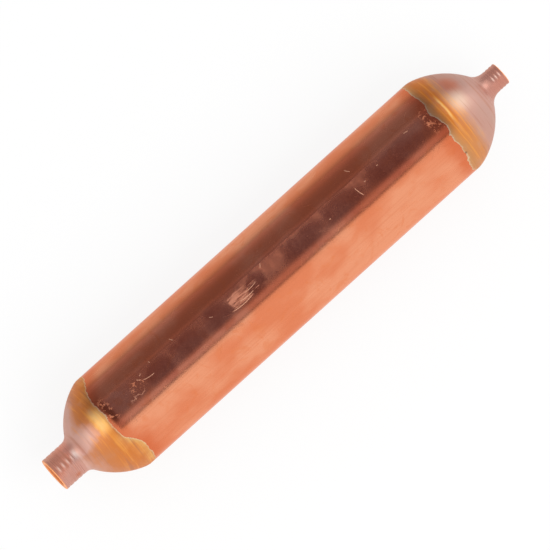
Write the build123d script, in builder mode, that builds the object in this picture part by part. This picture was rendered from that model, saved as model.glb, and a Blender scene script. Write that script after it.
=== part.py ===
from build123d import *

import math
import os
from dataclasses import dataclass

# Copper filter drier for a small refrigeration circuit.
#
# One length of copper tube is spun down at both ends to a dome and a short stub: a wide stub at the inlet,
# a narrow one for the capillary at the outlet. Loose desiccant beads fill the tube between two screens.
# The inlet screen is a flat disc of coarse crimped wire cloth, the outlet screen a tapered cup of fine gauze,
# and each is held by its rim in a rolled channel ring that is pressed into the tube.
#
# Frame: axis along X, inlet mouth at -X, outlet mouth at +X, +Z up, origin on the axis at mid length.
# All sizes are in millimetres and degrees.

# Tube
overall_length = 103.4
tube_diameter = 19.0
tube_wall = 0.7
mouth_edge_break = 0.12

# Inlet end, spun
inlet_stub_diameter = 6.5
inlet_bore = 5.0
inlet_stub_length = 4.5
inlet_neck_radius = 1.6
inlet_crown_radius = 13.7
inlet_shoulder_radius = 3.5
inlet_edge_slope = 19.0

# Outlet end, spun
outlet_stub_diameter = 4.3
outlet_bore = 2.7
outlet_stub_length = 2.4
outlet_neck_radius = 2.7
outlet_crown_radius = 14.2
outlet_shoulder_radius = 5.5
outlet_edge_slope = 17.0

# Rolled channel rings that hold the screens
ring_strip = 0.35
ring_depth = 1.6
ring_lead_in = 0.25
ring_seat_clearance = 0.03
rim_clearance = 0.05

# Coarse wire cloth at the inlet
wire_diameter = 0.5
wire_sides = 8
wire_pitch = 2.0
crossing_clearance = 0.04

# Fine gauze cup at the outlet
gauze_thickness = 0.3
cup_depth = 4.5
cup_nose_diameter = 5.0
cup_foot_inset = 0.3

# Desiccant
bed_clearance = 0.1


@dataclass
class SpunEnd:
    """One face of a spun end: shoulder, crown and neck arcs that meet in tangents, then the straight stub."""

    way: int  # +1 when the end points along +X, -1 when it points along -X
    tube_radius: float
    stub_radius: float
    neck_radius: float
    crown_radius: float
    shoulder_radius: float
    edge_slope: float  # slope at which the crown leaves the shoulder

    def flank_slope(self):
        """Slope at which the crown runs into the neck, so that the arcs finish exactly on the stub."""
        edge = math.radians(self.edge_slope)
        fall = self.tube_radius - self.stub_radius - self.shoulder_radius * (1 - math.cos(edge))
        level = self.neck_radius + self.crown_radius * math.cos(edge) - fall
        return math.degrees(math.acos(level / (self.neck_radius + self.crown_radius)))

    def length(self):
        """Length along the axis from the straight tube to the straight stub."""
        edge = math.sin(math.radians(self.edge_slope))
        flank = math.sin(math.radians(self.flank_slope()))
        return self.shoulder_radius * edge + self.crown_radius * (flank - edge) + self.neck_radius * flank

    def draw(self, shoulder_x, mouth_x):
        """Draws the outline from the end of the straight tube out to the mouth."""
        flank = self.flank_slope()
        start = (shoulder_x, self.tube_radius)
        shoulder = JernArc(start, (self.way, 0), self.shoulder_radius, -self.way * self.edge_slope)
        crown = JernArc(shoulder @ 1, shoulder % 1, self.crown_radius, -self.way * (flank - self.edge_slope))
        neck = JernArc(crown @ 1, crown % 1, self.neck_radius, self.way * flank)
        Line(neck @ 1, (mouth_x, self.stub_radius))


def inner_face(outer, bore):
    """The inside of a spun end. The wall is even over the dome and thickens through the neck to the stub."""
    stub_wall = outer.stub_radius - bore / 2
    return SpunEnd(
        way=outer.way,
        tube_radius=outer.tube_radius - tube_wall,
        stub_radius=bore / 2,
        neck_radius=outer.neck_radius + stub_wall,
        crown_radius=outer.crown_radius - tube_wall,
        shoulder_radius=outer.shoulder_radius - tube_wall,
        edge_slope=outer.edge_slope,
    )


inlet_outer = SpunEnd(
    way=-1,
    tube_radius=tube_diameter / 2,
    stub_radius=inlet_stub_diameter / 2,
    neck_radius=inlet_neck_radius,
    crown_radius=inlet_crown_radius,
    shoulder_radius=inlet_shoulder_radius,
    edge_slope=inlet_edge_slope,
)
outlet_outer = SpunEnd(
    way=1,
    tube_radius=tube_diameter / 2,
    stub_radius=outlet_stub_diameter / 2,
    neck_radius=outlet_neck_radius,
    crown_radius=outlet_crown_radius,
    shoulder_radius=outlet_shoulder_radius,
    edge_slope=outlet_edge_slope,
)
inlet_inner = inner_face(inlet_outer, inlet_bore)
outlet_inner = inner_face(outlet_outer, outlet_bore)

# Places along the axis. The tube is straight between the two shoulders.
inlet_mouth_x = -overall_length / 2
outlet_mouth_x = overall_length / 2
inlet_shoulder_x = inlet_mouth_x + inlet_stub_length + inlet_outer.length()
outlet_shoulder_x = outlet_mouth_x - outlet_stub_length - outlet_outer.length()

# Radii shared by the rings, the screens and the desiccant
bore_radius = tube_diameter / 2 - tube_wall
ring_radius = bore_radius - ring_seat_clearance
ring_opening_radius = ring_radius - ring_depth
rim_radius = ring_radius - ring_strip - rim_clearance


# Shell: the tube with both spun ends, one wall section turned about the axis
with BuildPart() as shell:
    with BuildSketch(Plane.XY):
        with BuildLine():
            for outer, inner, shoulder_x, mouth_x in (
                (inlet_outer, inlet_inner, inlet_shoulder_x, inlet_mouth_x),
                (outlet_outer, outlet_inner, outlet_shoulder_x, outlet_mouth_x),
            ):
                outer.draw(shoulder_x, mouth_x)
                inner.draw(shoulder_x, mouth_x)
                Line((mouth_x, outer.stub_radius), (mouth_x, inner.stub_radius))
            Line((inlet_shoulder_x, tube_diameter / 2), (outlet_shoulder_x, tube_diameter / 2))
            Line((inlet_shoulder_x, bore_radius), (outlet_shoulder_x, bore_radius))
        make_face()
    revolve(axis=Axis.X)
    # The mouths are cut square and the burr is taken off inside and out.
    chamfer(shell.faces().filter_by(GeomType.PLANE).edges(), mouth_edge_break)
shell.part.label = "shell"


def rolled_ring(centre_x, slot):
    """Ring rolled from flat strip to a channel that is open towards the axis, with its back to the tube."""
    with BuildPart() as ring:
        with BuildSketch(Plane.XY) as section:
            with Locations((centre_x, ring_radius)):
                Rectangle(slot + 2 * ring_strip, ring_depth, align=(Align.CENTER, Align.MAX))
            chamfer(section.vertices().group_by(Axis.Y)[-1], ring_lead_in)
            with Locations((centre_x, ring_radius - ring_strip)):
                Rectangle(slot, ring_depth, align=(Align.CENTER, Align.MAX), mode=Mode.SUBTRACT)
        revolve(axis=Axis.X)
    return ring


# Inlet screen ring, pushed up to the inlet shoulder
cloth_thickness = 2 * wire_diameter + crossing_clearance
inlet_slot = cloth_thickness + 2 * rim_clearance
cloth_x = inlet_shoulder_x + ring_strip + inlet_slot / 2
inlet_screen_ring = rolled_ring(cloth_x, inlet_slot)
inlet_screen_ring.part.label = "inlet_screen_ring"

# Inlet screen: plain weave, every wire crimped over and under the wires that cross it. Each wire is a zigzag
# with a crest at every crossing, and is cut to the round of the disc.
crimp_height = (wire_diameter + crossing_clearance) / 2
wires_each_way = 2 * int(rim_radius / wire_pitch)
wire_places = [wire_pitch * (wire - (wires_each_way - 1) / 2) for wire in range(wires_each_way)]


def crimp_at(place, first_way):
    """Height of a wire's middle above the cloth's middle. first_way says how it passes its first crossing."""
    crossings_passed = (place - wire_places[0]) / wire_pitch
    last_crossing = math.floor(crossings_passed)
    way = first_way if last_crossing % 2 == 0 else -first_way
    return way * crimp_height * (1 - 2 * (crossings_passed - last_crossing))


def crimped_wire(plane, place, first_way):
    """Sweeps the wire that lies at this place in the cloth, along the plane's X."""
    half_length = math.sqrt(rim_radius**2 - (abs(place) + wire_diameter / 2) ** 2)
    crests = [crossing for crossing in wire_places if abs(crossing) < half_length]
    bends = [-half_length, *crests, half_length]
    with BuildLine(plane) as path:
        Polyline(*[(bend, crimp_at(bend, first_way)) for bend in bends])
    with BuildSketch(Plane(origin=path.line @ 0, z_dir=path.line % 0)) as wire_section:
        RegularPolygon(wire_diameter / 2, wire_sides)
    sweep(wire_section.sketch, path=path.line, transition=Transition.RIGHT)


with BuildPart() as inlet_screen:
    for wire, place in enumerate(wire_places):
        first_way = 1 if wire % 2 == 0 else -1
        crimped_wire(Plane(origin=(cloth_x, place, 0), x_dir=(0, 0, 1), z_dir=(0, 1, 0)), place, first_way)
        crimped_wire(Plane(origin=(cloth_x, 0, place), x_dir=(0, 1, 0), z_dir=(0, 0, -1)), place, -first_way)
inlet_screen.part.label = "inlet_screen"

# Outlet screen ring, pushed up to the outlet shoulder
outlet_slot = gauze_thickness + 2 * rim_clearance
gauze_rim_x = outlet_shoulder_x - ring_strip - outlet_slot / 2
outlet_screen_ring = rolled_ring(gauze_rim_x, outlet_slot)
outlet_screen_ring.part.label = "outlet_screen_ring"

# Outlet screen: a flat rim, then a cup that tapers to a flat nose on the outlet side
cup_foot_radius = ring_opening_radius - cup_foot_inset
cup_nose_radius = cup_nose_diameter / 2
cup_taper = math.atan((cup_foot_radius - cup_nose_radius) / cup_depth)
cup_mitre = (1 - math.sin(cup_taper)) / math.cos(cup_taper)


def cup_line(offset):
    """Points from the cup's foot to its nose on the axis, at a distance of offset from the gauze's middle."""
    return [
        (gauze_rim_x + offset, cup_foot_radius + offset * cup_mitre),
        (gauze_rim_x + cup_depth + offset, cup_nose_radius + offset * cup_mitre),
        (gauze_rim_x + cup_depth + offset, 0),
    ]


with BuildPart() as outlet_screen:
    with BuildSketch(Plane.XY):
        with BuildLine():
            Polyline(
                (gauze_rim_x - gauze_thickness / 2, rim_radius),
                *cup_line(-gauze_thickness / 2),
                *reversed(cup_line(gauze_thickness / 2)),
                (gauze_rim_x + gauze_thickness / 2, rim_radius),
                close=True,
            )
        make_face()
    revolve(axis=Axis.X)
outlet_screen.part.label = "outlet_screen"

# Desiccant: the space that the loose beads fill between the screens, stepped in to pass inside the rings
bed_radius = bore_radius - bed_clearance
bed_neck_radius = ring_opening_radius - bed_clearance
bed_start_x = cloth_x + cloth_thickness / 2 + bed_clearance
inlet_ring_back_x = cloth_x + inlet_slot / 2 + ring_strip + bed_clearance
outlet_ring_back_x = gauze_rim_x - outlet_slot / 2 - ring_strip - bed_clearance
cup_offset = -gauze_thickness / 2 - bed_clearance

with BuildPart() as desiccant_bed:
    with BuildSketch(Plane.XY):
        with BuildLine():
            Polyline(
                (bed_start_x, 0),
                (bed_start_x, bed_neck_radius),
                (inlet_ring_back_x, bed_neck_radius),
                (inlet_ring_back_x, bed_radius),
                (outlet_ring_back_x, bed_radius),
                (outlet_ring_back_x, bed_neck_radius),
                (gauze_rim_x + cup_offset, bed_neck_radius),
                *cup_line(cup_offset),
                close=True,
            )
        make_face()
    revolve(axis=Axis.X)
desiccant_bed.part.label = "desiccant_bed"

os.makedirs("parts", exist_ok=True)
for piece in (shell, inlet_screen_ring, inlet_screen, desiccant_bed, outlet_screen, outlet_screen_ring):
    export_step(piece.part, f"parts/{piece.part.label}.step")
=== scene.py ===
import math
import random
from dataclasses import dataclass

import bpy
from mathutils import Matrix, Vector, kdtree


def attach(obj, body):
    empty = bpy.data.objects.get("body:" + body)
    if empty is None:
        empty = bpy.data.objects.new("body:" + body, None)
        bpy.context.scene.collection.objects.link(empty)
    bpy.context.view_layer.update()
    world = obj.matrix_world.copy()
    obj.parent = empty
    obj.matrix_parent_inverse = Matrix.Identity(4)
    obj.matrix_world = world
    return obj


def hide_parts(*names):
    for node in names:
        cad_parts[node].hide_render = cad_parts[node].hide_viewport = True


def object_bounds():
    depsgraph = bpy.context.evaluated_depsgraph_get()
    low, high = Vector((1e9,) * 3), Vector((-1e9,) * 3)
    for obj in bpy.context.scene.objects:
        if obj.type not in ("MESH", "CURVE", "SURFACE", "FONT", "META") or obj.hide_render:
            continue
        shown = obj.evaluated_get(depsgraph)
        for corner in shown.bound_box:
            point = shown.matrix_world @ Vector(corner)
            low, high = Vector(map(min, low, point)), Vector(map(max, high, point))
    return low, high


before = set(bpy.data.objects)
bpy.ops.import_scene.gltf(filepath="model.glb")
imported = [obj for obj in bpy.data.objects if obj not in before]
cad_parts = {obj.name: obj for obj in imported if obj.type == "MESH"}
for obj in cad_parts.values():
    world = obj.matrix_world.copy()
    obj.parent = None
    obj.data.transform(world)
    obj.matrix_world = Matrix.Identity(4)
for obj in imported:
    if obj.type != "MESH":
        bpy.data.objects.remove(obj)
cad_low, cad_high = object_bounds()

# Copper filter drier, lying on a white sheet. Axis along X, inlet stub at -X, outlet stub at +X, +Z up.
# "Turn" is the angle round the axis, from the top (+Z) towards the lit side (-Y).

MM = 0.001
TUBE_RADIUS = cad_high.z
MOUTH_X = cad_high.x


# ---------------------------------------------------------------------------------------------------------
# Camera
# ---------------------------------------------------------------------------------------------------------

CAMERA_AZIMUTH = math.radians(-42.4)
CAMERA_ELEVATION = math.radians(80.4)
CAMERA_DISTANCE = 2.5
VIEW_WIDTH = 94.0 * MM
AIM_LEFT = 0.55 * MM
AIM_DOWN = 0.21 * MM
CLIP_START = 0.1
CLIP_END = 10.0


def add_camera():
    """A long lens that looks almost straight down on the drier."""
    away = Vector((
        math.sin(CAMERA_AZIMUTH) * math.cos(CAMERA_ELEVATION),
        -math.cos(CAMERA_AZIMUTH) * math.cos(CAMERA_ELEVATION),
        math.sin(CAMERA_ELEVATION),
    ))
    turned = (-away).to_track_quat("-Z", "Y")
    aim = turned @ Vector((-AIM_LEFT, -AIM_DOWN, 0))
    bpy.ops.object.camera_add(location=aim + away * CAMERA_DISTANCE, rotation=turned.to_euler())
    camera = bpy.context.object
    camera.data.lens = camera.data.sensor_width * CAMERA_DISTANCE / VIEW_WIDTH
    camera.data.clip_start = CLIP_START
    camera.data.clip_end = CLIP_END
    bpy.context.scene.camera = camera
    bpy.context.scene.view_settings.view_transform = "Standard"


# ---------------------------------------------------------------------------------------------------------
# Node helpers
# ---------------------------------------------------------------------------------------------------------


def tint(red, green, blue):
    """A display colour, 0 to 255 a channel, as the linear colour that a shader takes."""
    linear = []
    for channel in (red, green, blue):
        level = channel / 255
        linear.append(level / 12.92 if level <= 0.04045 else ((level + 0.055) / 1.055) ** 2.4)
    return (*linear, 1.0)


class Amount:
    """A number that changes over a surface. Arithmetic on it adds Math nodes."""

    def __init__(self, nodes, socket):
        self.nodes = nodes
        self.socket = socket

    def math(self, operation, *others, clamp=False):
        values = dict(enumerate((self, *others)))
        return self.nodes.add("ShaderNodeMath", {"operation": operation, "use_clamp": clamp}, values)

    def __add__(self, other):
        return self.math("ADD", other)

    def __sub__(self, other):
        return self.math("SUBTRACT", other)

    def __mul__(self, other):
        return self.math("MULTIPLY", other)

    def __truediv__(self, other):
        return self.math("DIVIDE", other)

    def __rsub__(self, other):
        return self.math("MULTIPLY_ADD", -1.0, other)

    __radd__ = __add__
    __rmul__ = __mul__

    def size(self):
        return self.math("ABSOLUTE")

    def higher(self, other):
        return self.math("MAXIMUM", other)

    def rise(self, low, high):
        """0 below low, 1 above high, smooth between. With high below low it falls instead."""
        values = {"Value": self, "From Min": low, "From Max": high}
        return self.nodes.add("ShaderNodeMapRange", {"interpolation_type": "SMOOTHSTEP"}, values)

    def near(self, middle, reach):
        """1 at middle, falling smoothly to 0 at reach on both sides of it."""
        return (self - middle).size().rise(reach, 0.0)

    def between(self, low, high, edge):
        """1 between low and high, with soft edges."""
        return self.rise(low - edge, low + edge) * self.rise(high + edge, high - edge)


class Nodes:
    """The node tree of one material or of the world."""

    def __init__(self, owner):
        owner.use_nodes = True
        self.tree = owner.node_tree
        self.tree.nodes.clear()

    def add(self, kind, settings=None, values=None, output=0):
        """Adds a node: its settings first, then the values or links of its sockets."""
        node = self.tree.nodes.new(kind)
        for name, setting in (settings or {}).items():
            if name == "stops":
                self.set_stops(node.color_ramp, setting)
            else:
                setattr(node, name, setting)
        for name, value in (values or {}).items():
            if isinstance(value, Amount):
                self.tree.links.new(value.socket, node.inputs[name])
            else:
                node.inputs[name].default_value = value
        return Amount(self, node.outputs[output]) if len(node.outputs) else node

    @staticmethod
    def set_stops(ramp, stops):
        while len(ramp.elements) < len(stops):
            ramp.elements.new(1.0)
        for element, (position, colour) in zip(ramp.elements, stops):
            element.position = position
            element.color = colour

    def mix(self, factor, first, second):
        """Colour that goes from first to second as the factor rises."""
        values = {0: factor, 6: first, 7: second}
        return self.add("ShaderNodeMix", {"data_type": "RGBA"}, values, output=2)

    def place(self):
        """Object coordinates in millimetres."""
        metres = self.add("ShaderNodeTexCoord", output=3)
        return self.add("ShaderNodeVectorMath", {"operation": "SCALE"}, {0: metres, "Scale": 1 / MM})

    def stretched(self, place, along, across):
        """The place with its X and its cross-section scaled, for patterns along or round the tube."""
        scales = (along, across, across)
        return self.add("ShaderNodeVectorMath", {"operation": "MULTIPLY"}, {0: place, 1: scales})

    def split(self, place):
        parts = self.add("ShaderNodeSeparateXYZ", values={0: place})
        return [Amount(self, output) for output in parts.socket.node.outputs]

    def noise(self, place, scale, detail=2.0, roughness=0.5, distortion=0.0):
        values = {"Vector": place, "Scale": scale, "Detail": detail, "Roughness": roughness,
                  "Distortion": distortion}
        return self.add("ShaderNodeTexNoise", {"normalize": True}, values)

    def bump(self, height, depth):
        """Normal of a surface whose height goes from 0 to 1, times a depth in metres."""
        return self.add("ShaderNodeBump", values={"Height": height, "Distance": depth})

    def surface(self, values):
        """Ends the material in a Principled shader."""
        shader = self.add("ShaderNodeBsdfPrincipled", values=values)
        self.add("ShaderNodeOutputMaterial", values={"Surface": shader})


def new_material(name):
    material = bpy.data.materials.new(name)
    return material, Nodes(material)


# ---------------------------------------------------------------------------------------------------------
# Stage: white sheet, world, lamp and the cards that the polished tube mirrors
# ---------------------------------------------------------------------------------------------------------

WHITE = (1.0, 1.0, 1.0, 1.0)
# Strength of the white world as light on the drier. The camera and mirrors see it at full strength
WORLD_LIGHT = 0.85

LAMP_PLACE = (0.15, -0.7, 0.9)
LAMP_TILT = math.radians(38)
LAMP_SIZE = 0.8
LAMP_POWER = 6.0

SHEET_HALF_WIDTH = 1.5
SHEET_PAPER = (0.9, 0.9, 0.9, 1.0)
SHEET_GLOW = 0.85
# Away from the lamp the sheet that the tube mirrors falls off: share lost, and millimetres to half of it
SHEET_FALL = 0.92
SHEET_FALL_WIDTH = 95

WARM = (1.0, 0.86, 0.99, 1.0)
COOL = (1.03, 0.95, 1.3, 1.0)
# Cards that only mirrors see. From the dark side to past the top of the tube: from turn, to turn, from X and
# to X in metres, brightness, colour
SIDE_CARD_DISTANCE = 0.45
SIDE_CARDS = (
    (-90.5, -82, -1.2, 1.2, 0.42, WARM),
    (-82, -75, -1.2, 1.2, 0.34, WARM),
    (-75, -65, -1.2, 1.0, 0.26, WARM),
    (-65, -52, -0.9, 0.7, 0.225, WARM),
    (-52, -43, -0.7, 0.4, 0.21, WARM),
    (-43, -40, -0.6, 0.3, 0.38, WARM),
    (-40, -12, -0.35, 0.24, 0.195, COOL),
    (-12, 8, -0.27, 0.22, 0.182, COOL),
    (8, 13, -0.27, 0.22, 0.30, WARM),
    (13, 25, -0.27, 0.22, 0.56, WARM),
    (25, 29, -0.27, 0.22, 0.10, COOL),
)
# Past each end, over the domes: from tilt, to tilt, half width as a turn, brightness. Angles are in degrees
END_CARD_DISTANCE = 0.9
END_CARD_TURN = math.radians(-7)
END_CARDS = (
    ("inlet_light", -84, -46, 13, 2.1),
    ("outlet_light", 52, 92, 11, 2.0),
)


def seen_rays(nodes):
    """1 for rays of the camera and those that metal or glass mirrors, 0 for the light on the object."""
    path = nodes.add("ShaderNodeLightPath").socket.node.outputs
    seen = [Amount(nodes, path[name]) for name in ("Is Camera Ray", "Is Glossy Ray", "Is Transmission Ray")]
    return seen[0].higher(seen[1]).higher(seen[2])


def add_world():
    """A white world, a little weaker as a light than it looks."""
    world = bpy.context.scene.world or bpy.data.worlds.new("studio")
    bpy.context.scene.world = world
    nodes = Nodes(world)
    strength = seen_rays(nodes) * (1.0 - WORLD_LIGHT) + WORLD_LIGHT
    shown = nodes.add("ShaderNodeBackground", values={"Color": WHITE, "Strength": strength})
    nodes.add("ShaderNodeOutputWorld", values={"Surface": shown})


def add_sheet():
    """The white sheet that the drier lies on. It glows for the camera, and its shadow stays."""
    bpy.ops.mesh.primitive_plane_add(size=2 * SHEET_HALF_WIDTH, location=(0, 0, cad_low.z))
    sheet = bpy.context.object
    sheet.name = "sheet"
    material, nodes = new_material("white sheet")
    paper = nodes.add("ShaderNodeBsdfDiffuse", values={"Color": SHEET_PAPER})
    into_dark = nodes.split(nodes.place())[1].higher(0.0)
    mirrored = Amount(nodes, nodes.add("ShaderNodeLightPath").socket.node.outputs["Is Glossy Ray"])
    fall = into_dark / (into_dark + SHEET_FALL_WIDTH) * SHEET_FALL
    glow = nodes.add("ShaderNodeEmission", values={"Color": WHITE, "Strength": 1.0 - mirrored * fall})
    shown = nodes.add("ShaderNodeMixShader", values={0: seen_rays(nodes) * SHEET_GLOW, 1: paper, 2: glow})
    nodes.add("ShaderNodeOutputMaterial", values={"Surface": shown})
    sheet.data.materials.append(material)


def add_card(name, middle, turned, size, colour, brightness):
    """A flat glowing card that only mirrors see."""
    bpy.ops.mesh.primitive_plane_add(size=1, location=middle, rotation=turned)
    card = bpy.context.object
    card.name = name
    card.scale = (*size, 1)
    material, nodes = new_material(name)
    glow = nodes.add("ShaderNodeEmission", values={"Color": colour, "Strength": brightness})
    nodes.add("ShaderNodeOutputMaterial", values={"Surface": glow})
    card.data.materials.append(material)
    card.visible_camera = False
    card.visible_diffuse = False
    card.visible_shadow = False


def add_side_cards():
    """Dim cards from the dark side to past the top, which the tube mirrors as its dark band."""
    for index, (from_turn, to_turn, from_x, to_x, brightness, colour) in enumerate(SIDE_CARDS):
        middle = math.radians(from_turn + to_turn) / 2
        half = math.radians(to_turn - from_turn) / 2
        distance = SIDE_CARD_DISTANCE * math.cos(half)
        add_card(
            f"side_card_{index}",
            ((from_x + to_x) / 2, -math.sin(middle) * distance, math.cos(middle) * distance),
            (middle, 0, 0),
            (to_x - from_x, 2 * SIDE_CARD_DISTANCE * math.sin(half)),
            colour,
            brightness,
        )


def add_end_cards():
    """A bright card past each end, which its dome mirrors."""
    for name, from_tilt, to_tilt, half_turn, brightness in END_CARDS:
        middle = math.radians(from_tilt + to_tilt) / 2
        half = math.radians(to_tilt - from_tilt) / 2
        along = math.sin(middle) * END_CARD_DISTANCE
        height = math.cos(middle) * END_CARD_DISTANCE
        width = 2 * END_CARD_DISTANCE * math.tan(math.radians(half_turn))
        add_card(
            name,
            (along, -height * math.sin(END_CARD_TURN), height * math.cos(END_CARD_TURN)),
            (END_CARD_TURN, middle, 0),
            (2 * END_CARD_DISTANCE * math.tan(half), width),
            WHITE,
            brightness,
        )


def add_lamp():
    """A soft lamp on the lit side. Neither the camera nor a mirror sees it."""
    bpy.ops.object.light_add(type="AREA", location=LAMP_PLACE, rotation=(LAMP_TILT, 0, 0))
    lamp = bpy.context.object
    lamp.data.size = LAMP_SIZE
    lamp.data.energy = LAMP_POWER
    lamp.visible_camera = False
    lamp.visible_glossy = False


# ---------------------------------------------------------------------------------------------------------
# Materials
# ---------------------------------------------------------------------------------------------------------

# Places on the copper are given by X in millimetres and by turn in degrees, and a range by its two ends.

# Heat tint of the spun ends: where its edge crosses the tube, and how far a lobe of it reaches at the inlet
INLET_TINT_X = -36.9
OUTLET_TINT_X = 36.8
LOBE_REACH = 2.4
LOBE_DARK_SIDE = (-66, -26)
LOBE_LIT_SIDE = (49, 20)
EDGE_SOFTNESS = 0.12
# Colours by the depth in from the tint's edge
INLET_TINTS = (
    (0.0, (236, 180, 112)),
    (0.7, (224, 148, 82)),
    (1.8, (212, 126, 60)),
    (3.9, (206, 130, 80)),
    (6.0, (210, 164, 150)),
    (8.6, (208, 162, 148)),
    (10.4, (208, 140, 118)),
)
OUTLET_TINTS = (
    (0.0, (216, 170, 126)),
    (0.6, (208, 146, 92)),
    (1.6, (214, 126, 52)),
    (3.2, (216, 128, 56)),
    (3.9, (206, 142, 104)),
    (5.0, (200, 152, 136)),
    (8.0, (196, 154, 142)),
    (14.0, (200, 136, 118)),
)
# Turns over which the tints change towards the lit side
INLET_LIT_TURN = (5, 50)
OUTLET_LIT_TURN = (6, 48)
# Either stub begins over this range of distances from the middle of the drier
STUB_BEGINS = (46.6, 47.4)
# Painted shade: the stubs are painted darker towards the lit side over this range of turns
PAINTED_STUB_SHADE_TURN = (0, 30)

# Marks on the heated ends, among them painted highlights and painted shade. A depth is a range of depths in
# from the tint's edge
AMBER_TURN = -2
AMBER_HALF_TURN = 28
# Painted highlight: a pale golden glare beside the edge of the inlet's tint
PAINTED_GOLDEN_HIGHLIGHT_DEPTH = (0.3, 2.2)
PAINTED_GOLDEN_HIGHLIGHT_TURN = (-20, 9)
# Painted shade: a warmer colour on the dark side of the inlet's neck
PAINTED_NECK_SHADE_X = -47.6
PAINTED_NECK_SHADE_TURN = (8, -12)
# Painted highlight: a pale crescent at the inlet's neck
PAINTED_NECK_GLARE_X = -47.0
PAINTED_NECK_GLARE_HALF_TURN = 26
REDDENED_X = (41.5, 44.0)
REDDENED_TURN = (-44, -18)
# Painted highlight: a pale glare on the outlet's dome
PAINTED_PALE_GLARE_X = (40.6, 43.4)
PAINTED_PALE_GLARE_TURN = -4
# Painted highlight: a thin yellow streak round the outlet's shoulder
PAINTED_YELLOW_HIGHLIGHT_X = 39.2
PAINTED_YELLOW_HIGHLIGHT_TURN = (-20, 8)
BRIGHT_RING_DEPTH = (0.8, 5.0)
STAIN_X = -48.6
STAIN_TURN = 62
TEAR_DEPTH = (-0.1, 0.35)
TEAR_TURN = 121
# Painted highlights where the rolled rings of the stubs catch the light
PAINTED_RING_GLARES = (-50.70, -49.73, -48.76, -47.79, 49.62, 50.30, 50.99)
PAINTED_RING_GLARE_HALF_WIDTH = 0.3
PAINTED_RING_GLARE_TURN = 3
PAINTED_RING_GLARE_HALF_TURN = 17

# Polished patches on the rubbed top: middle and half length along X
POLISHED_PATCHES = (
    (-27.0, 2.6),
    (-20.4, 3.0),
    (-13.6, 2.8),
    (-5.0, 1.6),
    (6.2, 4.6),
    (15.2, 4.0),
    (26.6, 6.4),
)
POLISHED_PATCH_HALF_TURN = 12
RUBBED_X = (-32, 25)
RUBBED_DARK_SIDE = (-15.2, -14)
RUBBED_LIT_SIDE = (12, -6)
SCRAPED_X = (-10.6, -4.8)
SCRAPED_TURN = (-9, 5)
BURNT_DEPTH = (-1.8, -0.3)
BURNT_TURN = (-20, 8)
SCORCHED_DEPTH = (-1.5, -0.1)
SCORCHED_TURN = (-22, 12)
CHIPS_X = (-33.4, -30.0)
CHIPS_TURN = (-13, 0)
WAVY_LINE_X = (-34.4, -31.2)
WAVY_LINE_TURN = 4
WIPED_X = (0.5, 7.5)
WIPED_TURN = (20, 40)
# Fine scratches: slant in degrees from the axis, and spacing
WIPE_MARKS = (64, 0.3)
FINE_SCRATCHES = ((24, 0.5), (-38, 0.7))
# Nicks and short scratches: X, turn, length, slant in degrees from the axis
NICKS = (
    (-31.0, -8, 0.9, 40),
    (-30.2, -11, 0.6, -20),
    (-29.3, -3, 2.6, 10),
    (-27.6, -15, 0.4, 80),
    (-22.2, -17, 0.9, 60),
    (-14.6, -6, 0.7, 35),
    (-9.0, 6.4, 5.0, 1),
    (-7.6, 3.0, 3.4, 3),
    (-6.2, -1.4, 3.2, -3),
    (-2.4, -12, 1.0, -50),
    (11.8, 1, 0.35, 0),
    (18.6, 0, 2.3, 78),
    (19.6, -26, 1.3, 62),
    (20.6, -4, 0.4, 0),
    (24.0, -8, 0.35, 0),
    (31.5, -14, 1.0, 12),
)
NICK_HALF_WIDTH = 0.07
NICK_BOW = 0.22

BODY_ROUGHNESS = 0.14
END_ROUGHNESS = 0.34
# Heights of the bumps, in metres
COPPER_BUMP = 0.006 * MM
METAL_BUMP = 0.01 * MM
GAUZE_BUMP = 0.04 * MM
CLAY_BUMP = 0.05 * MM


def heat_tints(nodes, depth, tints):
    """Colours of the heated copper by the depth in from the tint's edge."""
    reach = tints[-1][0]
    stops = [(position / reach, tint(*colour)) for position, colour in tints]
    return nodes.add("ShaderNodeValToRGB", {"stops": stops}, {"Fac": depth / reach})


def highest(amounts):
    """The highest of several amounts at each point."""
    top = amounts[0]
    for amount in amounts[1:]:
        top = top.higher(amount)
    return top


def laid_over(nodes, base, coats):
    """A colour with coats laid over it in turn, each given by its share and its colour."""
    for share, colour in coats:
        base = nodes.mix(share, base, colour)
    return base


def slanted(x, around, slant):
    """Distances along and across a direction on the tube that leaves the axis by this slant."""
    along = math.cos(math.radians(slant))
    across = math.sin(math.radians(slant))
    return x * along + around * across, around * along - x * across


class CopperPlace:
    """Where a point of the copper is, and the noises that its finish is made of."""

    def __init__(self, nodes):
        place = nodes.place()
        self.nodes = nodes
        self.x, y, z = nodes.split(place)
        self.turn = (y * -1).math("ARCTAN2", z) * math.degrees(1)
        self.around = self.turn * (math.radians(1) * TUBE_RADIUS / MM)

        self.clouds = nodes.noise(nodes.stretched(place, 0.6, 1.0), 0.12, detail=3)
        self.drawn = nodes.noise(nodes.stretched(place, 0.02, 1.0), 2.4, detail=4, roughness=0.7)
        self.streaks = nodes.noise(nodes.stretched(place, 0.06, 1.0), 6.0, detail=3, roughness=0.6)
        self.rings = nodes.noise(nodes.stretched(place, 1.0, 0.04), 2.2, detail=3, roughness=0.6)
        self.mottled = nodes.noise(nodes.stretched(place, 1.2, 0.5), 0.5, detail=4, roughness=0.6)
        self.wiped = nodes.noise(place, 0.22, detail=5, distortion=2.5)
        self.speckle = nodes.noise(place, 2.6, detail=3, roughness=0.7)
        self.pitted = nodes.noise(place, 1.1, detail=3, roughness=0.6)
        self.ragged = nodes.noise(place, 0.5, detail=5, roughness=0.65) - 0.5
        self.uneven = nodes.noise(place, 0.3, detail=3, roughness=0.5) - 0.5
        self.smeared = (self.speckle * 0.5 + self.mottled * 0.5).rise(0.38, 0.62)


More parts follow.
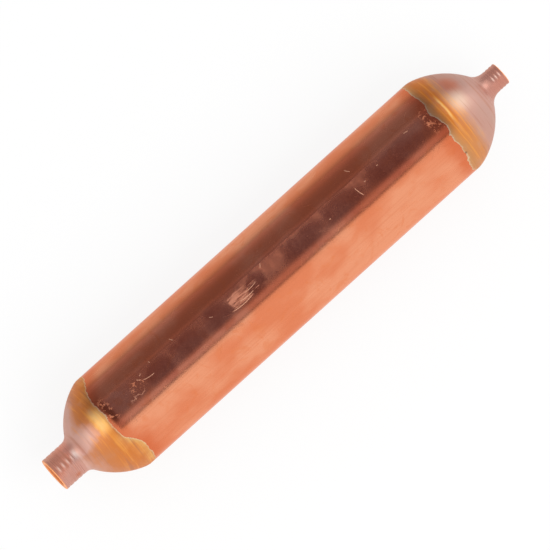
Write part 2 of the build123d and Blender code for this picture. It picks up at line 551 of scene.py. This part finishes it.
class HeatTint:
    """How deep a point is in the heat tint of either end, and where highlights and shade are painted on it.
    """

    def __init__(self, at):
        lobe = at.turn.rise(*LOBE_DARK_SIDE) * at.turn.rise(*LOBE_LIT_SIDE)
        self.into_inlet = at.ragged * 1.6 + INLET_TINT_X - lobe * LOBE_REACH - at.x
        self.into_outlet = at.x - at.uneven * 2.6 - at.ragged * 0.8 - OUTLET_TINT_X
        self.into = self.into_inlet.higher(self.into_outlet)
        self.heated = self.into.rise(0.0, EDGE_SOFTNESS)
        self.on_stub = at.x.size().rise(*STUB_BEGINS)
        # Painted shade on the dark side of the inlet's neck
        self.painted_neck_shade = at.x.near(PAINTED_NECK_SHADE_X, 2.4) * at.turn.rise(*PAINTED_NECK_SHADE_TURN)
        # Painted highlight: a pale crescent at the inlet's neck
        self.painted_neck_glare = at.x.near(PAINTED_NECK_GLARE_X, 0.75) * at.turn.near(0, PAINTED_NECK_GLARE_HALF_TURN)
        # Painted highlights on the rolled rings of the stubs
        rings = highest([at.x.near(middle, PAINTED_RING_GLARE_HALF_WIDTH) for middle in PAINTED_RING_GLARES])
        self.painted_ring_glare = rings * at.turn.near(PAINTED_RING_GLARE_TURN, PAINTED_RING_GLARE_HALF_TURN)


def polished_patches(at, wavy_x):
    """Patches in a row along the top, where handling left the copper bright, and painted darker as a painted
    reflection.
    """
    wavy_turn = at.turn + at.uneven * 16 + at.ragged * 12
    patches = []
    for middle, half_length in POLISHED_PATCHES:
        along = (wavy_x - middle) / half_length
        across = wavy_turn / POLISHED_PATCH_HALF_TURN
        patches.append((along * along + across * across).rise(2.0, 0.2))
    return highest(patches) * (0.6 + at.smeared * 0.4)


def rubbed_top(at, wavy_x, polished_with_painted_reflection):
    """The dull rubbed copper round the patches, sharp at its dark side and soft at its lit side."""
    dark_side = (at.turn + at.uneven * 3).rise(*RUBBED_DARK_SIDE)
    rubbed = wavy_x.between(*RUBBED_X, 5) * dark_side * at.turn.rise(*RUBBED_LIT_SIDE)
    fuller = 0.45 + at.x.rise(-9, -5) * 0.55
    return rubbed * fuller * (1 - polished_with_painted_reflection) * (0.7 + at.smeared * 0.6)


def scraped_place(at):
    """A place scraped bare in streaks along the tube."""
    in_x = (at.x + at.ragged * 3).between(*SCRAPED_X, 0.3)
    in_turn = (at.turn + at.ragged * 9).between(*SCRAPED_TURN, 1.2)
    denser = (at.x + at.ragged * 4).rise(-5.4, -9.6)
    return in_x * in_turn * (at.streaks + denser * 0.16).rise(0.5, 0.68)


def burnt_copper(at, into):
    """Flaked copper beside the edge of the inlet's heat tint."""
    flakes = (at.pitted * 0.6 + at.speckle * 0.4).rise(0.5, 0.6)
    return into.between(*BURNT_DEPTH, 0.4) * at.turn.between(*BURNT_TURN, 5) * flakes


def chipped_copper(at):
    """Small chips in the tube, a little way from the inlet's heat tint."""
    chips = (at.pitted * 0.4 + at.speckle * 0.6).rise(0.54, 0.62)
    return at.x.between(*CHIPS_X, 0.8) * at.turn.between(*CHIPS_TURN, 3) * chips


def nicks(at):
    """All the nicks and short scratches, slightly bowed."""
    marks = []
    for x, turn, length, slant in NICKS:
        along, across = slanted(at.x - x, at.around - math.radians(turn) * TUBE_RADIUS / MM, slant)
        bowed = across + along * along * (NICK_BOW / length)
        in_length = along.size().rise(length / 2, length / 3)
        marks.append(in_length * bowed.size().rise(NICK_HALF_WIDTH * 1.5, 0.0))
    return highest(marks)


def scorched_copper(at, into):
    """Darkened copper round the flakes, beside the edge of the inlet's heat tint."""
    return into.between(*SCORCHED_DEPTH, 0.4) * at.turn.between(*SCORCHED_TURN, 6) * at.x.rise(1, -1)


def wavy_line(at):
    """A thin bright line that wanders along the tube, close to the tint's edge."""
    return (at.turn - WAVY_LINE_TURN - at.ragged * 22).size().rise(1.0, 0.2) * at.x.between(*WAVY_LINE_X, 0.4)


def scratches(at, slant, spacing):
    """Fine broken scratches that lie more or less one way."""
    nodes = at.nodes
    along, across = slanted(at.x, at.around, slant)
    lines = nodes.add("ShaderNodeCombineXYZ", values={0: along * 0.06, 1: across / spacing, 2: slant})
    broken = nodes.add("ShaderNodeCombineXYZ", values={0: along * 0.35, 1: across * 0.8, 2: -slant})
    line = (nodes.noise(lines, 1.0, detail=0) - 0.5).size().rise(0.02, 0.004)
    return line * nodes.noise(broken, 1.0, detail=2).rise(0.6, 0.66)


def wipe_marks(at):
    """Fine slanted marks of a cloth on the lit side."""
    return scratches(at, *WIPE_MARKS) * at.x.between(*WIPED_X, 1.5) * at.turn.between(*WIPED_TURN, 3)


class Wear:
    """Marks that handling and heat left on the straight tube, each from 0 to 1."""

    def __init__(self, at, into):
        wavy_x = at.x + at.uneven * 5 + at.ragged * 3
        self.polished_with_painted_reflection = polished_patches(at, wavy_x)
        self.rubbed = rubbed_top(at, wavy_x, self.polished_with_painted_reflection)
        self.scraped = scraped_place(at)
        self.burnt = burnt_copper(at, into)
        self.scorched = scorched_copper(at, into)
        self.chips = chipped_copper(at)
        self.wavy_line = wavy_line(at)
        self.nicks = nicks(at)
        self.wipe_marks = wipe_marks(at)
        self.fine = highest([scratches(at, *way) for way in FINE_SCRATCHES])
        self.bright = highest([
            self.scraped * 0.8,
            self.burnt,
            self.chips * 0.7,
            self.wavy_line * 0.5,
            self.nicks,
        ])


def body_colour(at, into, wear):
    """The drawn copper of the straight tube, from its clouds up to the nicks."""
    clouded = at.nodes.mix(at.clouds.rise(0.40, 0.60), tint(230, 134, 94), tint(239, 157, 119))
    return laid_over(at.nodes, clouded, (
        (at.wiped.rise(0.5, 0.72) * 0.42, tint(230, 129, 80)),
        # Painted reflection: the smoother polished patches are also painted darker, like the dark cards that
        # they mirror
        (wear.polished_with_painted_reflection * 0.55, tint(184, 92, 68)),
        (at.drawn.rise(0.45, 0.7) * 0.25, tint(220, 122, 80)),
        (wear.wipe_marks * 0.5, tint(206, 104, 62)),
        (into.rise(-3.5, -0.1) * 0.7, tint(216, 108, 66)),
        (wear.rubbed * 0.7, tint(250, 158, 120)),
        (wear.scraped, tint(244, 166, 132)),
        (wear.scorched * 0.6, tint(150, 74, 48)),
        (highest([wear.burnt, wear.chips * 0.8]) * 0.8, tint(250, 164, 122)),
        (highest([wear.wavy_line * 0.5, wear.nicks]), tint(254, 196, 160)),
    ))


def inlet_colour(at, heat, warp):
    """Heat tints of the inlet end, with its painted glares and painted neck shade. On its lit side the amber
    runs on to the neck.
    """
    depth = heat.into_inlet * (1 - at.turn.rise(*INLET_LIT_TURN) * 0.4) + warp
    depth = depth + at.turn.near(AMBER_TURN, AMBER_HALF_TURN) * 1.8
    # Painted highlight: pale gold beside the edge of the tint, over the middle of the dome
    painted_golden_highlight = heat.into_inlet.between(*PAINTED_GOLDEN_HIGHLIGHT_DEPTH, 0.7) * at.turn.between(*PAINTED_GOLDEN_HIGHLIGHT_TURN, 9)
    return laid_over(at.nodes, heat_tints(at.nodes, depth, INLET_TINTS), (
        # Painted highlight, pale gold
        (painted_golden_highlight * 0.8, tint(255, 206, 124)),
        # Painted shade, warmer, on the neck's dark side
        (heat.painted_neck_shade * 0.6, tint(220, 140, 116)),
        # Painted highlight, the pale crescent at the neck
        (heat.painted_neck_glare * 0.8, tint(255, 232, 220)),
    ))


def outlet_colour(at, heat, warp):
    """Heat tints of the outlet end, with a painted pale glare and a painted yellow highlight on its dome."""
    heat_band = heat.into_outlet.rise(5.0, 3.0)
    reddened = (at.x + at.ragged * 2).between(*REDDENED_X, 1.0) * at.turn.between(*REDDENED_TURN, 10)
    # Painted highlight: the pale glare on the dome
    painted_pale_glare = at.x.between(*PAINTED_PALE_GLARE_X, 1.0) * at.turn.near(PAINTED_PALE_GLARE_TURN, 22)
    # Painted highlight: a thin yellow streak round the shoulder
    painted_yellow_highlight = (at.x + at.uneven).near(PAINTED_YELLOW_HIGHLIGHT_X, 0.32) * at.turn.between(*PAINTED_YELLOW_HIGHLIGHT_TURN, 8)
    return laid_over(at.nodes, heat_tints(at.nodes, heat.into_outlet + warp * 0.5, OUTLET_TINTS), (
        (reddened * 0.7, tint(206, 116, 82)),
        (at.turn.rise(*OUTLET_LIT_TURN) * heat_band * 0.6, tint(206, 146, 98)),
        # Painted highlight, pale
        (painted_pale_glare * 0.6, tint(232, 206, 182)),
        # Painted highlight, yellow
        (painted_yellow_highlight * 0.8, tint(252, 210, 132)),
    ))


def end_colour(at, heat):
    """The heated copper of both ends, with what they share: spun rings, stubs with painted shade and painted
    ring highlights, stain and the tint's edge.
    """
    warp = (at.rings - 0.5) * 1.6 + at.uneven * 3.0
    ends = at.nodes.mix(at.x.rise(-1, 1), inlet_colour(at, heat, warp), outlet_colour(at, heat, warp))
    bright_rings = at.rings.rise(0.47, 0.36) * heat.into.between(*BRIGHT_RING_DEPTH, 0.8)
    stain = (at.x + at.ragged).near(STAIN_X, 0.9) * at.turn.near(STAIN_TURN, 16)
    edge_line = heat.into.near(0.1, 0.26) * (0.6 + at.ragged * 1.2)
    tear = (at.turn + at.x * 2).near(TEAR_TURN, 2.5) * heat.into.between(*TEAR_DEPTH, 0.15)
    return laid_over(at.nodes, ends, (
        (at.mottled.rise(0.5, 0.75) * 0.25, tint(196, 164, 142)),
        (at.rings.rise(0.54, 0.68) * 0.4, tint(180, 116, 88)),
        (bright_rings * 0.35, tint(248, 172, 76)),
        # Painted shade on the lit side of the stubs
        (heat.on_stub * at.turn.rise(*PAINTED_STUB_SHADE_TURN) * 0.5, tint(180, 114, 98)),
        # Painted highlights on the stubs' rings
        (heat.painted_ring_glare * 0.5, tint(255, 228, 214)),
        (stain * 0.7, tint(186, 102, 62)),
        (edge_line, tint(232, 212, 178)),
        (tear * 0.8, tint(120, 62, 40)),
    ))


def copper_roughness(at, heat, wear):
    """Polished on the tube, rougher where it was rubbed or scratched, and dull on the heated ends."""
    body = BODY_ROUGHNESS + at.drawn * 0.06 + at.wiped * 0.05 + wear.rubbed * 0.22 - wear.polished_with_painted_reflection * 0.05
    body = body + wear.bright * 0.3 + wear.fine * 0.15
    ends = END_ROUGHNESS + at.rings * 0.16 - heat.on_stub * 0.14
    return body + heat.heated * (ends - body)


def copper_height(at, heat, wear):
    """Drawing lines and scratches on the tube, spun rings on the ends."""
    scraped = at.streaks * wear.scraped + at.pitted * (wear.burnt + wear.chips) + wear.nicks
    body = at.drawn * 0.2 + at.speckle * wear.rubbed * 0.1 + wear.fine * 0.3 + scraped * 2.0
    return body + heat.heated * (at.rings * 1.6 + 0.4 - body)


def copper_scale(heat, wear):
    """How far oxide scale, bare scrapes and the painted glares and painted shade take away the look of clean
    metal.
    """
    scale = heat.into.rise(0.0, 2.2) * 0.34 + heat.into.rise(7.0, 10.0) * 0.31 - heat.on_stub * 0.12
    return scale + heat.painted_neck_shade * 0.2 + heat.painted_neck_glare * 0.3 + heat.painted_ring_glare * 0.2 + wear.bright * 0.3


def copper_skin():
    """The outside of the shell: drawn copper, heat-tinted at both spun ends, with painted highlights and
    painted shade.
    """
    material, nodes = new_material("copper skin")
    at = CopperPlace(nodes)
    heat = HeatTint(at)
    wear = Wear(at, heat.into)
    nodes.surface({
        "Base Color": nodes.mix(heat.heated, body_colour(at, heat.into, wear), end_colour(at, heat)),
        "Metallic": 1.0 - copper_scale(heat, wear),
        "Roughness": copper_roughness(at, heat, wear),
        "Specular Tint": tint(255, 226, 212),
        "Normal": nodes.bump(copper_height(at, heat, wear), COPPER_BUMP),
    })
    return material


def cut_copper():
    """Freshly cut copper at the mouths and the plain inside of the tube."""
    material, nodes = new_material("cut copper")
    place = nodes.place()
    turned = nodes.noise(nodes.stretched(place, 1.0, 0.1), 6.0, detail=3)
    nodes.surface({
        "Base Color": nodes.mix(turned, tint(255, 176, 112), tint(255, 160, 96)),
        "Metallic": 0.15,
        "Roughness": 0.42 + turned * 0.12,
        "Normal": nodes.bump(turned, COPPER_BUMP),
    })
    return material


def plain_metal(name, light, dark):
    """A clean satin metal for the pieces inside."""
    material, nodes = new_material(name)
    grain = nodes.noise(nodes.place(), 3.0, detail=4, roughness=0.6)
    nodes.surface({
        "Base Color": nodes.mix(grain, light, dark),
        "Metallic": 1.0,
        "Roughness": 0.3 + grain * 0.15,
        "Normal": nodes.bump(grain, METAL_BUMP),
    })
    return material


# ---------------------------------------------------------------------------------------------------------
# Shell
# ---------------------------------------------------------------------------------------------------------

TUBE_WALL = 0.7 * MM
MOUTH_EDGE_BREAK = 0.12 * MM
BEVEL = MOUTH_EDGE_BREAK * math.sqrt(2)
EIGHTH_TURN = math.radians(45)
# Shallow rings that the spinning roller left on the stubs
GROOVE_WIDTH = 0.5 * MM
GROOVE_DEPTH = 0.06 * MM
GROOVE_STEP = GROOVE_WIDTH / 8
INLET_GROOVES = 4
OUTLET_GROOVES = 3
# Lengths of the edges that the section is drawn with, and the steps that it is spun in
ROUND_STEPS = 240
OUTER_STEP = 0.28 * MM
INNER_STEP = 0.8 * MM
STUB_STEP = 0.3 * MM
TUBE_STEP = 0.6 * MM
TUBE_SMOOTH_ANGLE = math.radians(30)
# Knocks in the tube: X, turn, depth and reach, in millimetres and degrees
DENTS = (
    (-34.6, -8, 0.030, 2.0),
    (-32.0, -4, 0.035, 1.9),
    (-30.2, 4, 0.030, 2.4),
    (-13.0, -8, 0.030, 2.6),
    (-8.0, -2, 0.040, 2.2),
    (4.5, -12, 0.030, 3.2),
    (19.0, 6, 0.025, 2.8),
    (35.4, -10, 0.030, 1.8),
    (28.0, 150, 0.040, 3.0),
    (-16.0, -128, 0.035, 2.6),
)
# Vertices nearer than this are one
DOUBLE = 0.002 * MM


def single_vertex(name, place):
    """A new object that is one vertex, left selected in edit mode."""
    bpy.ops.object.select_all(action="DESELECT")
    bpy.ops.mesh.primitive_plane_add(size=MM)
    bpy.context.object.name = name
    bpy.ops.object.mode_set(mode="EDIT")
    bpy.ops.mesh.select_all(action="SELECT")
    bpy.ops.mesh.merge(type="CENTER")
    bpy.ops.transform.translate(value=place)


def merge_doubles():
    """Closes the seams and poles of the mesh in edit mode."""
    bpy.ops.mesh.select_all(action="SELECT")
    bpy.ops.mesh.remove_doubles(threshold=DOUBLE)


def tree_of(points):
    """A search tree that finds each point by its index."""
    tree = kdtree.KDTree(len(points))
    for index, point in enumerate(points):
        tree.insert(point, index)
    tree.balance()
    return tree


@dataclass
class SpunEnd:
    """One spun end: shoulder, crown and neck arcs that meet in tangents, then the stub."""

    tube_radius: float
    stub_radius: float
    bore_radius: float
    stub_length: float
    neck_radius: float
    crown_radius: float
    shoulder_radius: float
    edge_slope: float

    def flank_slope(self):
        """Slope at which the crown runs into the neck."""
        fall = self.tube_radius - self.stub_radius - self.shoulder_radius * (1 - math.cos(self.edge_slope))
        level = self.neck_radius + self.crown_radius * math.cos(self.edge_slope) - fall
        return math.acos(level / (self.neck_radius + self.crown_radius))

    def bends(self, side):
        """Radius and angle of the arcs from the tube to the stub, for an outline that goes that way."""
        flank = self.flank_slope()
        return [
            (self.shoulder_radius, side * self.edge_slope),
            (self.crown_radius, side * (flank - self.edge_slope)),
            (self.neck_radius, -side * flank),
        ]

    def length(self):
        """Length along the axis from the straight tube to the stub."""
        edge = math.sin(self.edge_slope)
        flank = math.sin(self.flank_slope())
        return self.shoulder_radius * edge + self.crown_radius * (flank - edge) + self.neck_radius * flank

    def inner(self):
        """The inside of this end. The wall is even over the dome and thickens through the neck."""
        return SpunEnd(
            tube_radius=self.tube_radius - TUBE_WALL,
            stub_radius=self.bore_radius,
            bore_radius=self.bore_radius,
            stub_length=self.stub_length,
            neck_radius=self.neck_radius + self.stub_radius - self.bore_radius,
            crown_radius=self.crown_radius - TUBE_WALL,
            shoulder_radius=self.shoulder_radius - TUBE_WALL,
            edge_slope=self.edge_slope,
        )


INLET = SpunEnd(
    tube_radius=TUBE_RADIUS,
    stub_radius=3.25 * MM,
    bore_radius=2.5 * MM,
    stub_length=4.5 * MM,
    neck_radius=1.6 * MM,
    crown_radius=13.7 * MM,
    shoulder_radius=3.5 * MM,
    edge_slope=math.radians(19),
)
OUTLET = SpunEnd(
    tube_radius=TUBE_RADIUS,
    stub_radius=2.15 * MM,
    bore_radius=1.35 * MM,
    stub_length=2.4 * MM,
    neck_radius=2.7 * MM,
    crown_radius=14.2 * MM,
    shoulder_radius=5.5 * MM,
    edge_slope=math.radians(17),
)


class Outline:
    """A chain of edges in the XY plane. Its last vertex is extruded ahead or spun through an arc."""

    def __init__(self, name, x, y):
        self.end = Vector((x, y, 0))
        self.heading = 0.0
        single_vertex(name, self.end)

    def turn(self, angle):
        """A change of heading, to the left with an angle above 0."""
        self.heading += angle

    def ahead_to(self, x, step=1.0):
        """A straight run along the axis as far as this X."""
        self.ahead(abs(x - self.end.x), step)

    def ahead(self, length, step=1.0):
        """A straight run of this length, in edges of about one step."""
        count = max(1, round(length / step))
        move = Vector((math.cos(self.heading), math.sin(self.heading), 0)) * (length / count)
        for _ in range(count):
            bpy.ops.mesh.extrude_region_move(TRANSFORM_OT_translate={"value": move})
            self.end += move

    def bend(self, radius, angle, step):
        """An arc, to the left with an angle above 0 and to the right with one below."""
        side = math.copysign(1, angle)
        across = Vector((-math.sin(self.heading), math.cos(self.heading), 0)) * side * radius
        centre = self.end + across
        count = max(2, round(abs(angle) * radius / step))
        bpy.ops.mesh.spin(steps=count, angle=-angle, center=centre, axis=(0, 0, 1))
        self.heading += angle
        self.end = centre - Vector((-math.sin(self.heading), math.cos(self.heading), 0)) * side * radius

    def narrow(self, end, side, step):
        """From the tube down to the stub. Side is -1 on the outer face and +1 on the inner face."""
        for radius, angle in end.bends(side):
            self.bend(radius, angle, step)

    def widen(self, end, side, step):
        """From the stub up to the tube."""
        for radius, angle in reversed(end.bends(side)):
            self.bend(radius, angle, step)

    def grooved_to(self, x, count):
        """A straight run with rolled rings in it, each of three shallow arcs."""
        gap = (abs(x - self.end.x) - count * GROOVE_WIDTH) / (count + 1)
        angle = 4 * GROOVE_DEPTH / GROOVE_WIDTH
        radius = GROOVE_WIDTH / (4 * math.sin(angle))
        for _ in range(count):
            self.ahead(gap, STUB_STEP)
            for bend_angle in (-angle, 2 * angle, -angle):
                self.bend(radius, bend_angle, GROOVE_STEP)
        self.ahead(gap, STUB_STEP)

    def mouth(self, end):
        """The edge of a mouth, cut square with the burr taken off."""
        for length in (BEVEL, end.stub_radius - end.bore_radius - 2 * MOUTH_EDGE_BREAK, BEVEL):
            self.turn(-EIGHTH_TURN)
            self.ahead(length)
        self.turn(-EIGHTH_TURN)


def draw_section():
    """The closed section of the wall: outer face to the outlet, inner face back, then the inlet end."""
    inlet_shoulder_x = -MOUTH_X + INLET.stub_length + INLET.length()
    outlet_shoulder_x = MOUTH_X - OUTLET.stub_length - OUTLET.length()
    stub_edge_x = MOUTH_X - MOUTH_EDGE_BREAK

    outline = Outline("shell_tube", inlet_shoulder_x, TUBE_RADIUS)
    outline.ahead_to(outlet_shoulder_x, TUBE_STEP)
    outline.narrow(OUTLET, -1, OUTER_STEP)
    outline.grooved_to(stub_edge_x, OUTLET_GROOVES)
    outline.mouth(OUTLET)
    outline.ahead_to(outlet_shoulder_x + OUTLET.inner().length(), INNER_STEP)
    outline.widen(OUTLET.inner(), 1, INNER_STEP)
    outline.ahead_to(inlet_shoulder_x)
    outline.narrow(INLET.inner(), 1, INNER_STEP)
    outline.ahead_to(-stub_edge_x, INNER_STEP)
    outline.mouth(INLET)
    outline.grooved_to(-MOUTH_X + INLET.stub_length, INLET_GROOVES)
    outline.widen(INLET, -1, OUTER_STEP)


def spin_section():
    """Spins the drawn section about the axis."""
    merge_doubles()
    bpy.ops.mesh.spin(steps=ROUND_STEPS, angle=math.tau, center=(0, 0, 0), axis=(1, 0, 0))
    merge_doubles()
    bpy.ops.mesh.normals_make_consistent(inside=False)
    bpy.ops.object.mode_set(mode="OBJECT")
    bpy.ops.object.shade_smooth_by_angle(angle=TUBE_SMOOTH_ANGLE)


def paint_shell(shell):
    """Copper skin outside, cut copper at the mouths and on the inner face."""
    shell.data.materials.append(copper_skin())
    shell.data.materials.append(cut_copper())
    for face in shell.data.polygons:
        outward = face.normal.y * face.center.y + face.normal.z * face.center.z
        if outward < 0 or abs(face.center.x) > MOUTH_X - MOUTH_EDGE_BREAK:
            face.material_index = 1


def press_dents(shell):
    """Shallow knocks in the soft copper. The inner face of the wall goes along with the outer one."""
    tree = tree_of([vertex.co for vertex in shell.data.vertices])
    for x, turn, depth, reach in DENTS:
        away = Vector((0, -math.sin(math.radians(turn)), math.cos(math.radians(turn))))
        nearest = tree.find(Vector((x * MM, 0, 0)) + away * TUBE_RADIUS)[1]
        bpy.ops.object.mode_set(mode="EDIT")
        bpy.ops.mesh.select_all(action="DESELECT")
        bpy.ops.object.mode_set(mode="OBJECT")
        shell.data.vertices[nearest].select = True
        bpy.ops.object.mode_set(mode="EDIT")
        bpy.ops.transform.translate(
            value=-away * depth * MM,
            use_proportional_edit=True,
            proportional_size=reach * MM,
            proportional_edit_falloff="SMOOTH",
        )
        bpy.ops.object.mode_set(mode="OBJECT")


def build_shell():
    """The copper tube with both spun ends: one closed section, spun about the axis."""
    draw_section()
    spin_section()
    shell = bpy.context.object
    paint_shell(shell)
    press_dents(shell)
    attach(shell, "root")
    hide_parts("shell")


# ---------------------------------------------------------------------------------------------------------
# Inside: loose beads, the woven inlet cloth, and materials for the rings and the gauze cup of the CAD
# ---------------------------------------------------------------------------------------------------------

CLOTH_X = -36.875 * MM
CLOTH_RADIUS = 8.37 * MM
WIRE_RADIUS = 0.25 * MM
WIRE_PITCH = 2.0 * MM
WIRE_STEP = 0.3 * MM
WIRE_ROUNDING = 3
WIRE_SMOOTH_ANGLE = math.radians(40)
CRIMP = 0.27 * MM
BEAD_COUNT = 1650
BEAD_RADIUS = 1.1 * MM
BEAD_ROUNDING = 2
BEAD_SEED = 20
BEAD_SETTLING_STEPS = 60
# In each step a bead moves away from each one that it overlaps, by this share of the overlap
BEAD_PUSH = 0.45
BED_RADIUS = 8.7 * MM
BED_START_X = -35.8 * MM
BED_END_X = 36.4 * MM
# The bed runs on into the gauze cup, a cone that narrows by one for each one along X
CUP_FOOT_X = 37.0 * MM
CUP_FOOT_RADIUS = 6.7 * MM
CUP_NOSE_X = 41.3 * MM
# How far inside the cone a bead's centre stays, in bead radii across the axis
CUP_MARGIN = 1.42
# Pitch of the gauze in millimetres
GAUZE_PITCH = 0.25


def kept_in_bed(centre):
    """The nearest place in the bed for a bead's centre."""
    x = min(max(centre.x, BED_START_X + BEAD_RADIUS), CUP_NOSE_X - BEAD_RADIUS)
    limit = BED_RADIUS - BEAD_RADIUS
    if x > BED_END_X - BEAD_RADIUS:
        limit = min(limit, CUP_FOOT_RADIUS + CUP_FOOT_X - x - CUP_MARGIN * BEAD_RADIUS)
    away = math.hypot(centre.y, centre.z)
    inward = min(1.0, limit / away) if away > 0 else 1.0
    return Vector((x, centre.y * inward, centre.z * inward))


def scattered_centres(chance):
    """Centres at random places in the bed."""
    centres = []
    for _ in range(BEAD_COUNT):
        direction = chance.uniform(0, math.tau)
        away = BED_RADIUS * math.sqrt(chance.random())
        x = chance.uniform(BED_START_X, CUP_NOSE_X)
        centres.append(kept_in_bed(Vector((x, away * math.cos(direction), away * math.sin(direction)))))
    return centres


def pushed_apart(centres):
    """The centres, each moved away from those that its bead overlaps."""
    tree = tree_of(centres)
    moved = []
    for index, centre in enumerate(centres):
        push = Vector()
        for near, other, distance in tree.find_range(centre, 2 * BEAD_RADIUS):
            if other != index and distance > 0:
                push += (centre - near) * ((2 * BEAD_RADIUS - distance) / distance)
        moved.append(kept_in_bed(centre + push * BEAD_PUSH))
    return moved


def settled_beads(chance):
    """Centres of loose beads, pushed apart from a random start, and the radius that each has room for."""
    centres = scattered_centres(chance)
    for _ in range(BEAD_SETTLING_STEPS):
        centres = pushed_apart(centres)
    tree = tree_of(centres)
    return [(centre, min(BEAD_RADIUS, tree.find_n(centre, 2)[1][2] / 2)) for centre in centres]


def sieve_clay():
    """Dull fired clay of the molecular sieve beads."""
    material, nodes = new_material("molecular sieve")
    place = nodes.place()
    grain = nodes.noise(place, 4.0, detail=5, roughness=0.7)
    shade = nodes.noise(place, 0.35, detail=2)
    clay = nodes.mix(shade.rise(0.3, 0.7), tint(224, 206, 172), tint(196, 172, 134))
    nodes.surface({
        "Base Color": nodes.mix(grain.rise(0.5, 0.75) * 0.5, clay, tint(160, 134, 100)),
        "Roughness": 0.82 + grain * 0.12,
        "Normal": nodes.bump(grain, CLAY_BUMP),
    })
    return material


def build_beads():
    """The molecular sieve beads, in place of the plain bed."""
    chance = random.Random(BEAD_SEED)
    bpy.ops.object.select_all(action="DESELECT")
    bpy.ops.mesh.primitive_ico_sphere_add(subdivisions=BEAD_ROUNDING, radius=1.0)
    first = bpy.context.object
    bpy.ops.object.shade_smooth()
    first.data.materials.append(sieve_clay())
    for index, (centre, radius) in enumerate(settled_beads(chance)):
        bead = first.copy() if index else first
        bead.location = centre
        bead.scale = (radius, radius, radius)
        bead.rotation_euler = [chance.uniform(0, math.tau) for _ in range(3)]
        if index:
            bpy.context.collection.objects.link(bead)
        bead.select_set(True)
    bpy.context.view_layer.objects.active = first
    bpy.ops.object.join()
    bpy.ops.object.transform_apply(location=True, rotation=True, scale=True)
    beads = bpy.context.object
    beads.name = "sieve_beads"
    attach(beads, "root")
    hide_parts("desiccant_bed")


def woven_wires():
    """Paths of the wires of a plain weave, each crimped over and under those it crosses."""
    wires_to_side = int(CLOTH_RADIUS / WIRE_PITCH)
    for index in range(-wires_to_side, wires_to_side):
        offset = (index + 0.5) * WIRE_PITCH
        half_length = math.sqrt(CLOTH_RADIUS ** 2 - (abs(offset) + WIRE_RADIUS) ** 2)
        steps = round(2 * half_length / WIRE_STEP)
        for side in (1, -1):
            path = []
            for step in range(steps + 1):
                along = half_length * (2 * step / steps - 1)
                over = math.sin(math.pi * along / WIRE_PITCH) * math.sin(math.pi * offset / WIRE_PITCH)
                crossed = (along, offset) if side > 0 else (offset, along)
                path.append(Vector((CLOTH_X + side * CRIMP * over, *crossed)))
            yield path


def draw_wires():
    """Draws the middle lines of all the wires, one after another."""
    paths = list(woven_wires())
    end = paths[0][0]
    single_vertex("woven_cloth", end)
    for index, (start, *others) in enumerate(paths):
        if index:
            bpy.ops.mesh.duplicate_move(TRANSFORM_OT_translate={"value": start - end})
        end = start
        for point in others:
            bpy.ops.mesh.extrude_region_move(TRANSFORM_OT_translate={"value": point - end})
            end = point
    bpy.ops.object.mode_set(mode="OBJECT")


def round_wires():
    """Gives the drawn lines the thickness of the wire."""
    bpy.ops.object.convert(target="CURVE")
    wires = bpy.context.object
    wires.data.bevel_depth = WIRE_RADIUS
    wires.data.bevel_resolution = WIRE_ROUNDING
    wires.data.use_fill_caps = True
    bpy.ops.object.convert(target="MESH")
    bpy.ops.object.mode_set(mode="EDIT")
    merge_doubles()
    bpy.ops.mesh.normals_make_consistent(inside=False)
    bpy.ops.object.mode_set(mode="OBJECT")
    bpy.ops.object.shade_smooth_by_angle(angle=WIRE_SMOOTH_ANGLE)


def build_inlet_cloth():
    """The coarse wire cloth at the inlet, cut to the channel of its ring."""
    draw_wires()
    round_wires()
    cloth = bpy.context.object
    cloth.data.materials.append(plain_metal("stainless wire", tint(198, 196, 192), tint(166, 164, 160)))
    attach(cloth, "root")
    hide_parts("inlet_screen")


def fine_gauze():
    """Wire gauze of the cup, too fine to show its wires as shapes."""
    material, nodes = new_material("fine gauze")
    _, y, z = nodes.split(nodes.place())
    warp_wires = (y * (math.pi / GAUZE_PITCH)).math("SINE")
    weft_wires = (z * (math.pi / GAUZE_PITCH)).math("SINE")
    weave = (warp_wires * weft_wires) * 0.5 + 0.5
    hole = warp_wires.size().rise(0.55, 0.2) * weft_wires.size().rise(0.55, 0.2)
    nodes.surface({
        "Base Color": nodes.mix(hole, tint(200, 198, 190), tint(52, 48, 44)),
        "Metallic": 1.0,
        "Roughness": 0.34 + hole * 0.3,
        "Normal": nodes.bump(weave - hole, GAUZE_BUMP),
    })
    return material


def dress_cad_pieces():
    """Materials of the rings and the gauze cup, which are shown with the shape that they have in the CAD."""
    plated = plain_metal("plated steel", tint(204, 202, 194), tint(176, 174, 164))
    metals = {
        "inlet_screen_ring": plated,
        "outlet_screen_ring": plated,
        "outlet_screen": fine_gauze(),
    }
    for name, metal in metals.items():
        for material_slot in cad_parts[name].material_slots:
            material_slot.material = metal


add_camera()
add_world()
add_sheet()
add_side_cards()
add_end_cards()
add_lamp()
build_shell()
build_beads()
build_inlet_cloth()
dress_cad_pieces()
